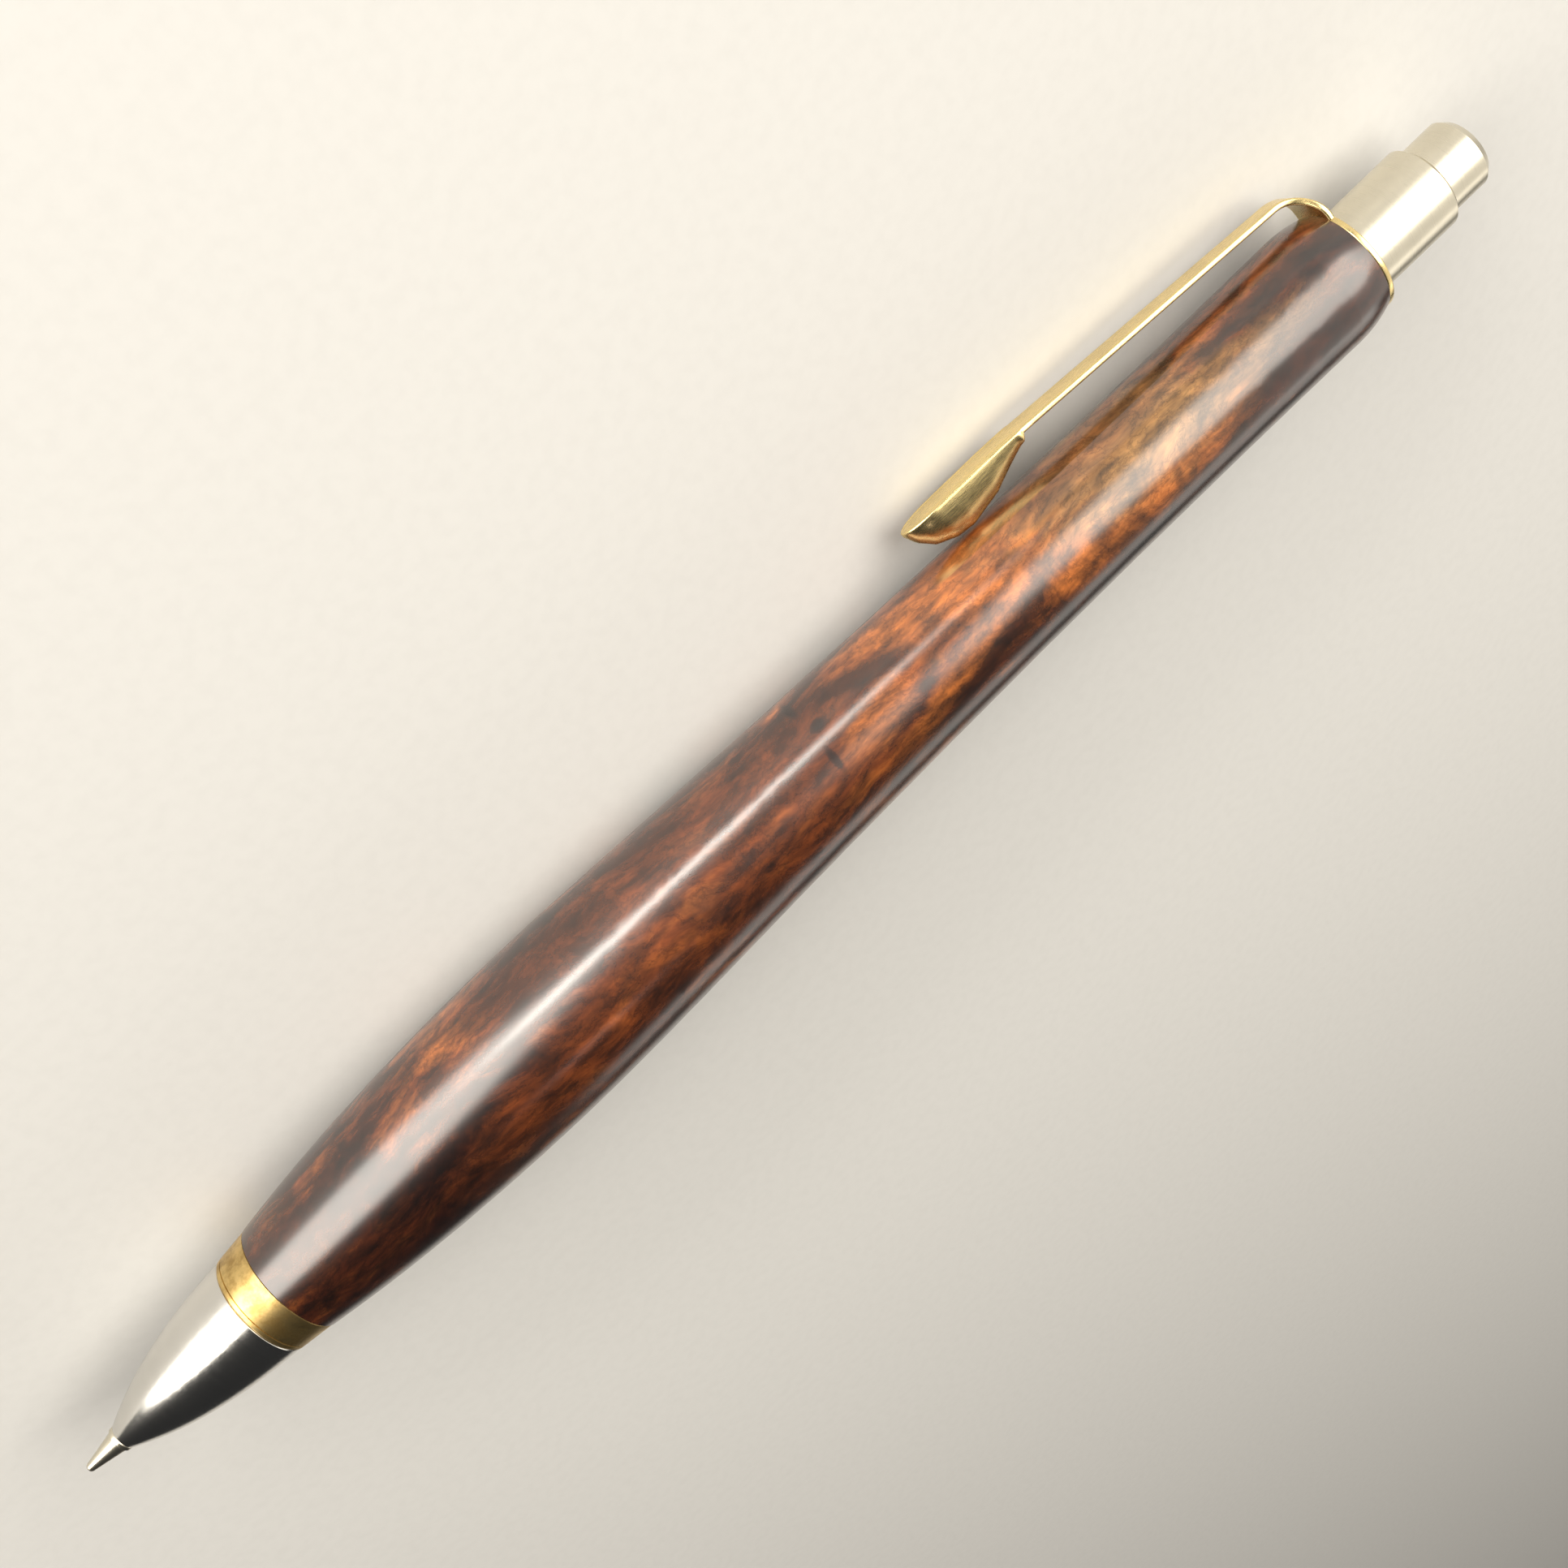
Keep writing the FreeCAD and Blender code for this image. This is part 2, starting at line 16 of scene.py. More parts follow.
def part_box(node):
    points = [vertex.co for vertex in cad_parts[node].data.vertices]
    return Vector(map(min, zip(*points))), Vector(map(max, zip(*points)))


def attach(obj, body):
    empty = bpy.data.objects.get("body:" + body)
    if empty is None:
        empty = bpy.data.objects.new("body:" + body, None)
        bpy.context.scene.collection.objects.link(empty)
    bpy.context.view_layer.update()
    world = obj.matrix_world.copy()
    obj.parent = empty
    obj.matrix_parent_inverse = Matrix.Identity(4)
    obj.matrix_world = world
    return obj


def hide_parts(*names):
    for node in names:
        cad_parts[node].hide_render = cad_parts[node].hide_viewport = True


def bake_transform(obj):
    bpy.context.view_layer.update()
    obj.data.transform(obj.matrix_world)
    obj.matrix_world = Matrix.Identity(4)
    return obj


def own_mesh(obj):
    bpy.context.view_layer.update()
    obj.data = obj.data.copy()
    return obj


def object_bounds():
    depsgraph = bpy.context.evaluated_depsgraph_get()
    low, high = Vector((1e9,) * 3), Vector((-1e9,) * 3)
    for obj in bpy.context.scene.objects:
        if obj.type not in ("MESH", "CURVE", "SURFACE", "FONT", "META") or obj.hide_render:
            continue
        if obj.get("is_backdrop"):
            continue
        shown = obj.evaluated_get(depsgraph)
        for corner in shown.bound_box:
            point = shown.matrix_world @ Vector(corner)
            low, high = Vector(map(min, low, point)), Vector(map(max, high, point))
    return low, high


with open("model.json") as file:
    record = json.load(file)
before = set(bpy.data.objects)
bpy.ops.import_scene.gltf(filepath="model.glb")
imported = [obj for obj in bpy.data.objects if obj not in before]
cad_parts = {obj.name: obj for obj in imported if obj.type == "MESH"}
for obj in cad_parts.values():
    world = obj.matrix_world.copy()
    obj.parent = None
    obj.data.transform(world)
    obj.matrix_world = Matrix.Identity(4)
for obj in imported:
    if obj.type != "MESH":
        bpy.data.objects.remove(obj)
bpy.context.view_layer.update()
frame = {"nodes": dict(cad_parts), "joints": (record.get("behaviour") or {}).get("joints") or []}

bl_info = {
    "name": "Burl Pencil",
    "version": (1, 0, 0),
    "blender": (4, 5, 0),
    "location": "View3D > Sidebar > Pencil",
    "description": "Finishes and smooth skins for a turned wooden mechanical pencil",
    "category": "Object",
}

MM = 0.001
QUARTER = math.radians(90)
SPOT_DEPTH = 0.85  # how far out a spot of wood colour is centred, as a share of the radius
SPOT_HEIGHT = 7 * MM
TAB_FOOT = 3.5 * MM  # height over the axis where the clip's tab leaves its ring


# Places read from the frame --------------------------------------------------

def joint(name):
    """The frame's record of one joint."""
    return next(j for j in frame["joints"] if j["name"] == name)


def axis_point(x=0.0):
    """Point on the pencil's long axis, which runs along X."""
    low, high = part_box("tail_collar")
    return Vector((x, (low.y + high.y) / 2, (low.z + high.z) / 2))


def clip_outward():
    """Unit vector from the pencil's axis out to the pocket clip."""
    hinge = Vector(joint("clip_spring")["axis"])
    return Vector((0.0, -hinge.z, hinge.y)).normalized()


def outward(angle):
    """Unit vector out from the axis, at an angle from the clip up over the wood."""
    out = clip_outward()
    side = Vector((1, 0, 0)).cross(out)
    return out * math.cos(angle) + side * math.sin(angle)


# Sizes and colours that a user may change ------------------------------------

def length(name, about, default):
    """A size in metres."""
    return FloatProperty(name=name, description=about, default=default, unit="LENGTH", precision=5)


def share(name, about, default):
    """A part of one."""
    return FloatProperty(
        name=name, description=about, default=default, min=0.0, max=1.0, subtype="FACTOR"
    )


def angle(name, about, degrees):
    """An angle, given in degrees."""
    return FloatProperty(
        name=name, description=about, default=math.radians(degrees), unit="ROTATION"
    )


def colour(name, about, default):
    """A linear colour."""
    return FloatVectorProperty(
        name=name, description=about, default=default, size=3, min=0.0, max=1.0, subtype="COLOR"
    )


class PencilWood(PropertyGroup):
    dark: colour("Heartwood", "Darkest streaks of the burl", (0.0070, 0.0015, 0.0007))
    deep: colour("Deep brown", "Main dark tone between streaks", (0.022, 0.0044, 0.0013))
    red: colour("Red brown", "Middle tone of the burl", (0.092, 0.0215, 0.0046))
    amber: colour("Amber", "Bright curl in the burl", (0.30, 0.088, 0.016))
    olive: colour("Olive", "Pale olive-brown clouds near the clip", (0.215, 0.110, 0.036))
    gloss: share("Coat roughness", "Roughness of the oil and wax film", 0.24)


class PencilMetal(PropertyGroup):
    steel: colour("Steel", "Polished steel of the nose", (0.70, 0.68, 0.64))
    satin: colour("Satin steel", "Satin steel of the tip, collar and button", (0.70, 0.65, 0.53))
    brass: colour("Trim brass", "Brass of the trim ring", (0.66, 0.47, 0.19))
    brass_dull: colour("Patina", "Dull patches of the trim ring", (0.40, 0.26, 0.09))
    clip: colour("Clip brass", "Brass of the pocket clip", (0.84, 0.66, 0.31))
    inner: colour("Inner brass", "Machined brass inside", (0.74, 0.55, 0.24))


class PencilClip(PropertyGroup):
    sheet: length("Sheet", "Thickness of the clip's strip", 0.50 * MM)
    bend: length("Bend radius", "Outer radius of the bend over the tail", 3.0 * MM)
    bend_top: length("Bend height", "Outer face over the axis at the bend", 7.30 * MM)
    slope: angle("Slope", "Rise of the arm toward its boat", 3.1)
    half_tab: length("Half width at ring", "Half the tab's width where it leaves the ring", 2.10 * MM)
    flare: length("Flare", "How far from the ring the tab has narrowed to the arm", 2.4 * MM)
    half_bend: length("Half width at bend", "Half the strip's width past the bend", 0.95 * MM)
    half_boat: length("Half width at boat", "Half the strip's width where the boat begins", 1.30 * MM)
    boat_length: length("Boat length", "Length of the boat-shaped end", 11.2 * MM)
    boat_half: length("Boat half width", "Half the boat's deck width", 1.46 * MM)
    bow: length("Bow", "Length of the boat's rounded bow", 3.0 * MM)
    stern: length("Stern depth", "Depth of the folded sides at the stern", 1.25 * MM)
    crease: length("Crease", "Depth of the line pressed along the deck's edges", 0.05 * MM)


class PencilStage(PropertyGroup):
    distance: length("Camera distance", "Camera to the pencil's axis", 131.0 * MM)
    view_side: angle("View side", "Camera's angle round the axis from the clip", 68.0)
    roll: angle("Roll", "Angle of the pencil across the picture", 43.86)
    lens: FloatProperty(
        name="Lens", description="Focal length in millimetres", default=41.0, unit="CAMERA"
    )
    aim_from_tip: length("Aim", "Where the camera looks, from the tip", 71.5 * MM)
    aim_beside: length("Aim beside", "How far beside the axis the camera looks", 0.9 * MM)
    floor: colour("Floor", "Pale floor", (0.60, 0.59, 0.57))
    world: colour("Room", "Soft light from the room", (0.95, 0.97, 1.0))


# Node materials --------------------------------------------------------------

class Paint:
    """Small helper that builds one node material."""

    def __init__(self, name):
        self.material = bpy.data.materials.new(name)
        self.material.use_nodes = True
        self.tree = self.material.node_tree
        self.shader = self.tree.nodes["Principled BSDF"]
        coordinates = self.tree.nodes.new("ShaderNodeTexCoord")
        self.place = coordinates.outputs["Object"]

    def put(self, **values):
        """Set plain numbers on the shader's own sockets."""
        for key, value in values.items():
            socket = self.shader.inputs[key.replace("_", " ")]
            socket.default_value = (*value, 1.0) if hasattr(value, "__len__") else value

    def link(self, source, socket):
        """Drive one of the shader's sockets from a node."""
        self.tree.links.new(source, self.shader.inputs[socket])

    def node(self, kind, **settings):
        """Add a shader node with its settings."""
        made = self.tree.nodes.new("ShaderNode" + kind)
        for key, value in settings.items():
            setattr(made, key, value)
        return made

    def feed(self, made, socket, value):
        """Give a node's socket a link or a plain value."""
        if isinstance(value, bpy.types.NodeSocket):
            self.tree.links.new(value, made.inputs[socket])
        else:
            made.inputs[socket].default_value = value

    def stretch(self, scale, move=(0.0, 0.0, 0.0), source=None):
        """Coordinates scaled per axis, in cycles per metre."""
        made = self.node("Mapping")
        self.feed(made, "Vector", source or self.place)
        made.inputs["Scale"].default_value = scale
        made.inputs["Location"].default_value = move
        return made.outputs["Vector"]

    def noise(self, vector, detail, rough):
        """Soft noise with one cell to each unit of the coordinates."""
        made = self.node("TexNoise")
        self.feed(made, "Vector", vector)
        self.feed(made, "Scale", 1.0)
        self.feed(made, "Detail", detail)
        self.feed(made, "Roughness", rough)
        return made.outputs["Fac"]

    def drift(self, vector, amount, scale):
        """Push coordinates about by a soft noise, so that a pattern swirls."""
        made = self.node("TexNoise")
        self.feed(made, "Vector", self.stretch(scale, source=vector))
        self.feed(made, "Scale", 1.0)
        self.feed(made, "Detail", 2.0)
        centre = self.node("VectorMath", operation="SUBTRACT")
        self.feed(centre, 0, made.outputs["Color"])
        centre.inputs[1].default_value = (0.5, 0.5, 0.5)
        push = self.node("VectorMath", operation="MULTIPLY")
        self.feed(push, 0, centre.outputs[0])
        push.inputs[1].default_value = amount
        add = self.node("VectorMath", operation="ADD")
        self.feed(add, 0, vector)
        self.feed(add, 1, push.outputs[0])
        return add.outputs[0]

    def ramp(self, source, *stops):
        """Grey levels or colours by place: stops are (place, value)."""
        made = self.node("ValToRGB")
        self.feed(made, "Fac", source)
        band = made.color_ramp
        while len(band.elements) < len(stops):
            band.elements.new(0.5)
        for element, (place, value) in zip(band.elements, sorted(stops, key=lambda stop: stop[0])):
            element.position = place
            element.color = (*value, 1.0) if hasattr(value, "__len__") else (value, value, value, 1.0)
        return made.outputs["Color"]

    def mix(self, factor, first, second, how="MIX"):
        """Blend of two colours, each one a link or a plain colour."""
        made = self.node("Mix", data_type="RGBA", blend_type=how)
        self.feed(made, 0, factor)
        for socket, value in ((6, first), (7, second)):
            if isinstance(value, bpy.types.NodeSocket):
                self.tree.links.new(value, made.inputs[socket])
            else:
                made.inputs[socket].default_value = (*value, 1.0)
        return made.outputs[2]

    def sum(self, how, first, second=0.0, third=None):
        """One step of arithmetic on grey levels."""
        made = self.node("Math", operation=how)
        self.feed(made, 0, first)
        self.feed(made, 1, second)
        if third is not None:
            self.feed(made, 2, third)
        return made.outputs[0]

    def level(self, source, low, high):
        """Smooth step from nought at low to one at high."""
        made = self.node("MapRange", interpolation_type="SMOOTHSTEP")
        self.feed(made, "Value", source)
        made.inputs["From Min"].default_value = low
        made.inputs["From Max"].default_value = high
        return made.outputs["Result"]

    def bump(self, height, depth, strength, before=None):
        """Relief of a given depth, laid over an earlier relief if there is one."""
        made = self.node("Bump")
        self.feed(made, "Height", height)
        made.inputs["Distance"].default_value = depth
        made.inputs["Strength"].default_value = strength
        if before is not None:
            self.feed(made, "Normal", before)
        return made.outputs["Normal"]


def along_axis(paint):
    """Coordinates with the pencil's axis at nought, so that patterns turn about it."""
    centre = axis_point()
    made = paint.node("VectorMath", operation="SUBTRACT")
    paint.feed(made, 0, paint.place)
    made.inputs[1].default_value = (0.0, centre.y, centre.z)
    return made.outputs[0]


class Burl:
    """Builds up the look of the polished burl, one feature of the wood at a time."""

    def __init__(self, wood):
        self.wood = wood
        self.paint = Paint("burl_wood")
        low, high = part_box("barrel")
        self.tip_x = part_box("tip_guide")[0].x
        self.radius = (high.z - low.z) / 2
        place = along_axis(self.paint)
        swirl = self.paint.drift(place, (0.0085, 0.0046, 0.0046), (60, 100, 100))
        self.even = swirl
        self.swirl = self.paint.drift(swirl, (0.0016, 0.0011, 0.0011), (380, 620, 620))
        self.ragged = self.paint.noise(
            self.paint.stretch((420, 800, 800), (4.0, 1.0, 7.0), source=swirl), detail=6, rough=0.68)

    def grain(self, along, across, move=(0.0, 0.0, 0.0), detail=5.0, rough=0.6):
        """Noise drawn out along the pencil, in cycles per metre."""
        vector = self.paint.stretch((along, across, across), move, source=self.swirl)
        return self.paint.noise(vector, detail=detail, rough=rough)

    def patch(self, from_tip, turn, long, wide, tilt=0.0, soft=0.55, torn=0.9):
        """Soft ragged spot on the wood, one at its middle and nought outside it."""
        paint = self.paint
        out = outward(math.radians(turn))
        along = Vector((1, 0, 0))
        aslant = Matrix.Rotation(math.radians(tilt), 3, out) @ along
        frame_axes = Matrix((aslant, out.cross(aslant), out)).transposed()
        made = paint.node("Mapping", vector_type="TEXTURE")
        paint.feed(made, "Vector", paint.place)
        middle = axis_point(self.tip_x + from_tip * MM)
        made.inputs["Location"].default_value = middle + out * SPOT_DEPTH * self.radius
        made.inputs["Rotation"].default_value = frame_axes.to_euler()
        made.inputs["Scale"].default_value = (long * MM, wide * MM, SPOT_HEIGHT)
        far = paint.node("VectorMath", operation="LENGTH")
        paint.feed(far, 0, made.outputs["Vector"])
        edge = paint.sum("MULTIPLY_ADD", self.ragged, -2 * torn, far.outputs["Value"])
        return paint.level(edge, 1.0 - torn + soft, 1.0 - torn - soft)

    def tone(self):
        """Ground colours of the burl with its clouds and a painted shade along the lower side laid
        over them.
        """
        wood, paint = self.wood, self.paint
        cloud = self.grain(80, 140, (3.1, 0.4, 1.7), detail=4, rough=0.6)
        streak = self.grain(150, 520, detail=6, rough=0.66)
        tone = paint.ramp(
            paint.sum("MULTIPLY_ADD", streak, 0.65, paint.sum("MULTIPLY", cloud, 0.35)),
            (0.37, wood.dark), (0.45, wood.deep), (0.53, wood.red), (0.68, wood.amber),
        )
        # Lays on the burl's clouds and the painted shade of the lower side.
        for kind, strength, *where in WOOD_CLOUDS_AND_SHADE:
            cover = paint.sum("MULTIPLY", self.patch(*where), strength)
            tone = paint.mix(cover, tone, getattr(wood, kind))
        return tone

    def build(self):
        """The whole material: colours, grain, eyes, relief and the oiled coat."""
        wood, paint = self.wood, self.paint
        tone = self.tone()
        streaks = self.grain(110, 1300, (1.0, 5.0, 2.0), 6, 0.62)
        streaks = paint.ramp(streaks, (0.36, 0.50), (0.50, 1.0), (0.66, 1.35))
        tone = paint.mix(0.55, tone, streaks, "MULTIPLY")
        ripple = self.grain(1500, 240, (5.0, 1.0, 4.0), 4, 0.6)
        ripple = paint.ramp(ripple, (0.36, 0.55), (0.50, 1.0), (0.66, 1.4))
        curly = paint.sum("ADD", self.patch(99, 108, 12, 3.4), self.patch(60, 220, 20, 5.0))
        tone = paint.mix(paint.sum("MULTIPLY", curly, 0.75), tone, ripple, "MULTIPLY")
        blotches = paint.stretch((380, 900, 900), (2.0, 8.0, 3.0), source=self.even)
        mottle = paint.noise(blotches, 5, 0.56)
        shades = paint.ramp(mottle, (0.33, 0.36), (0.50, 1.0), (0.67, 1.75))
        tone = paint.mix(0.95, tone, shades, "MULTIPLY")
        vein = self.grain(360, 560, (7.0, 3.0, 1.0), 6, 0.7)
        vein = paint.sum("ABSOLUTE", paint.sum("SUBTRACT", vein, 0.5))
        tone = paint.mix(0.65, tone, paint.ramp(vein, (0.0, 0.40), (0.03, 1.0)), "MULTIPLY")
        fibre = self.grain(420, 5200, (0.0, 2.0, 6.0), 3, 0.5)
        threads = paint.ramp(fibre, (0.30, 0.65), (0.50, 1.0), (0.70, 1.35))
        tone = paint.mix(0.25, tone, threads, "MULTIPLY")
        for eye in WOOD_EYES:
            tone = paint.mix(paint.sum("MULTIPLY", self.patch(*eye), 0.90), tone, wood.dark)
        paint.link(tone, "Base Color")
        paint.link(paint.ramp(mottle, (0.3, 0.46), (0.7, 0.36)), "Roughness")
        relief = paint.bump(mottle, 0.000006, 0.35)
        paint.link(paint.bump(fibre, 0.000004, 0.35, relief), "Normal")
        paint.put(
            Specular_IOR_Level=0.12, Coat_Weight=1.0, Coat_Roughness=wood.gloss, Coat_IOR=1.85
        )
        return paint.material


# Clouds in the burl, and painted shade: colour, strength, mm from the tip, degrees round from the
# clip, half length and half width in mm, slant in degrees
WOOD_CLOUDS_AND_SHADE = (
    # The dark and deep rows from 108 to 130 degrees round are painted shade along the lower side, in
    # the burl's own dark colours.
    ("dark", 0.75, 30.0, 108, 14.0, 4.2, 0),
    ("deep", 0.65, 24.0, 70, 8.0, 4.0, 3),
    ("dark", 0.60, 48.0, 126, 18.0, 2.6, 3),
    ("red", 0.60, 50.0, 92, 11.0, 2.2, 6),
    ("red", 0.45, 63.0, 96, 9.0, 2.4, -4),
    ("red", 0.55, 60.0, 40, 16.0, 3.0, -3),
    ("red", 0.75, 76.0, 62, 9.0, 3.6, 6),
    ("amber", 0.80, 93.0, 46, 9.0, 3.2, -10),
    ("amber", 0.95, 86.0, 31, 5.0, 1.3, -20),
    ("dark", 0.80, 80.5, 37, 5.2, 0.9, -17),
    ("amber", 0.70, 79.4, 71, 3.4, 1.4, 10),
    ("amber", 0.70, 87.0, 91, 8.5, 1.0, 13),
    ("dark", 0.75, 87.0, 106, 9.0, 0.8, 15),
    ("dark", 0.70, 79.0, 126, 10.0, 1.8, 6),
    ("deep", 0.60, 95.0, 118, 8.0, 2.0, 0),
    ("olive", 0.80, 105.0, 48, 9.0, 3.6, -4),
    ("red", 0.60, 101.0, 22, 9.0, 1.8, -6),
    ("deep", 0.65, 121.5, 62, 7.0, 3.2, 0),
    ("amber", 0.75, 98.0, 100, 3.2, 1.6, 0),
    ("amber", 0.80, 107.5, 103, 6.0, 1.5, 3),
    ("olive", 0.55, 112.0, 72, 9.0, 2.0, 0),
    ("dark", 0.80, 119.5, 40, 7.0, 0.9, 0),
    ("red", 0.60, 122.0, 18, 7.0, 1.6, 0),
    ("deep", 0.85, 121.0, 108, 9.0, 2.6, 0),
    ("dark", 0.70, 104.0, 130, 18.0, 1.6, 0),
    ("amber", 0.60, 70.0, 200, 14.0, 4.0, 12),
    ("dark", 0.60, 95.0, 240, 16.0, 4.0, -10),
    ("olive", 0.60, 108.0, 290, 10.0, 4.0, 14),
    ("amber", 0.60, 45.0, 280, 14.0, 4.0, -8),
)

# Small dark eyes: mm from the tip, degrees round, half length and half width, slant, softness, tearing
WOOD_EYES = (
    (76.1, 44, 0.6, 0.45, 6, 0.5, 0.5),
    (75.3, 71, 0.32, 1.1, -4, 0.5, 0.5),
    (75.3, 14, 0.35, 1.3, 4, 0.5, 0.5),
    (52.0, 210, 0.5, 1.0, 10, 0.5, 0.5),
    (90.0, 300, 0.6, 0.9, -10, 0.5, 0.5),
)


def turned_metal(name, tint, rough, marks, rings=0.0):
    """Metal off a lathe: fine turning lines round the axis and soft stains."""
    paint = Paint(name)
    place = along_axis(paint)
    lines = paint.noise(paint.stretch((26000, 60, 60), source=place), detail=3, rough=0.7)
    stain = paint.noise(paint.stretch((420, 420, 420), source=place), detail=5, rough=0.6)
    tone = paint.mix(paint.level(stain, 0.35, 0.75), tint, tuple(0.93 * part for part in tint))
    paint.link(tone, "Base Color")
    paint.link(paint.ramp(lines, (0.25, rough + marks), (0.75, max(rough - marks, 0.02))), "Roughness")
    if rings:
        paint.link(paint.bump(lines, rings, 0.5), "Normal")
    paint.put(Metallic=1.0)
    return paint.material


def patina_brass(name, bright, dull, rough):
    """Satin brass with mottled patches and fine flecks."""
    paint = Paint(name)
    place = along_axis(paint)
    patch = paint.noise(paint.stretch((650, 650, 650), source=place), detail=8, rough=0.68)
    fleck = paint.noise(paint.stretch((3800, 3800, 3800), source=place), detail=4, rough=0.6)
    tone = paint.mix(paint.level(patch, 0.40, 0.68), bright, dull)
    tone = paint.mix(0.35, tone, paint.ramp(fleck, (0.3, 0.8), (0.7, 1.1)), "MULTIPLY")
    paint.link(tone, "Base Color")
    paint.link(paint.ramp(patch, (0.3, rough), (0.75, rough + 0.16)), "Roughness")
    paint.link(paint.bump(fleck, 0.000004, 0.5), "Normal")
    paint.put(Metallic=1.0)
    return paint.material


def drawn_brass(name, tint, rough):
    """Stamped brass strip with faint rubbing lines along it."""
    paint = Paint(name)
    place = along_axis(paint)
    rub = paint.noise(paint.stretch((700, 14000, 14000), source=place), detail=4, rough=0.65)
    haze = paint.noise(paint.stretch((500, 500, 500), source=place), detail=5, rough=0.6)
    tone = paint.mix(paint.level(haze, 0.40, 0.75), tint, tuple(0.86 * part for part in tint))
    paint.link(tone, "Base Color")
    paint.link(paint.ramp(rub, (0.25, rough + 0.10), (0.75, rough - 0.05)), "Roughness")
    paint.link(paint.bump(rub, 0.000002, 0.35), "Normal")
    paint.put(Metallic=1.0)
    return paint.material


def moulded(name, tint, rough, grain=2500.0, depth=0.000006):
    """Plastic, rubber, eraser or lead with a fine even skin."""
    paint = Paint(name)
    skin = paint.noise(paint.stretch((grain, grain, grain)), detail=5, rough=0.6)
    cloud = paint.noise(paint.stretch((260, 260, 260)), detail=3, rough=0.5)
    tone = paint.mix(paint.level(cloud, 0.3, 0.8), tint, tuple(0.85 * part for part in tint))
    paint.link(tone, "Base Color")
    paint.link(paint.ramp(skin, (0.3, min(rough + 0.08, 1.0)), (0.7, rough)), "Roughness")
    paint.link(paint.bump(skin, depth, 0.5), "Normal")
    return paint.material


def finish_node(name, material, smooth_under=35.0):
    """Give a CAD node its finish and even shading."""
    piece = frame["nodes"][name]
    piece.data.materials.clear()
    piece.data.materials.append(material)
    piece.data.shade_smooth()
    piece.data.set_sharp_from_angle(angle=math.radians(smooth_under))


# Smooth skins ----------------------------------------------------------------

def mesh_piece(name, points, faces, material):
    """A smooth mesh with its finish."""
    mesh = bpy.data.meshes.new(name)
    mesh.from_pydata([tuple(point) for point in points], [], faces)
    mesh.validate()
    mesh.materials.append(material)
    mesh.shade_smooth()
    piece = bpy.data.objects.new(name, mesh)
    bpy.context.scene.collection.objects.link(piece)
    return piece


def strip_faces(rows, columns):
    """Quads between rows of points, each row a closed loop, with a cap at both ends."""
    faces = []
    for row in range(rows - 1):
        for column in range(columns):
            after = (column + 1) % columns
            first, second = row * columns, (row + 1) * columns
            faces.append((first + column, first + after, second + after, second + column))
    faces.append(tuple(reversed(range(columns))))
    faces.append(tuple(range((rows - 1) * columns, rows * columns)))
    return faces


def even(count, start=0.0, end=1.0):
    """Evenly spaced numbers from start to end."""
    return [start + (end - start) * step / (count - 1) for step in range(count)]


def clip_section(half, depth, hull, crease):
    """Half outline across the clip, from the middle of its outer face round to its back.

    A hull of nought gives a flat strip with eased edges, and one gives the boat's
    folded sides, which draw in to the keel.
    """
    edge = min(0.17 * MM, 0.45 * depth, 0.45 * half)
    outline = []
    for part in even(26):
        dip = crease * math.exp(-((part - 0.80) / 0.05) ** 2)
        outline.append((part * (half - edge), -dip))
    for part in even(6)[1:]:
        turn = QUARTER * part
        outline.append((half - edge + edge * math.sin(turn), edge * (math.cos(turn) - 1)))
    for part in even(25)[1:]:
        if part < 0.3:
            strip = (half, -edge - (depth - 2 * edge) * part / 0.3)
        elif part < 0.5:
            turn = QUARTER * (part - 0.3) / 0.2
            strip = (half - edge + edge * math.cos(turn), -depth + edge - edge * math.sin(turn))
        else:
            strip = ((half - edge) * (1 - part) / 0.5, -depth)
        turn = QUARTER * part
        folded = (
            half * math.cos(turn) ** 0.80 if part < 1 else 0.0,
            -edge - (depth - edge) * math.sin(turn) ** 1.15,
        )
        outline.append(tuple(flat + hull * (fold - flat) for flat, fold in zip(strip, folded)))
    return outline


def boat_depth(clip, part, full):
    """Depth of the hull at a share of its length, from the bow's tip to the stern."""
    stations = (0.0, 0.04, 0.13, 0.27, 0.40, 0.65, 0.85, 0.965, 1.0)
    depths = (
        0.30 * MM, 0.40 * full, 0.74 * full, 0.95 * full, full,
        0.84 * full, 0.54 * full, clip.stern, clip.sheet,
    )
    return float(np.interp(part, stations, depths))


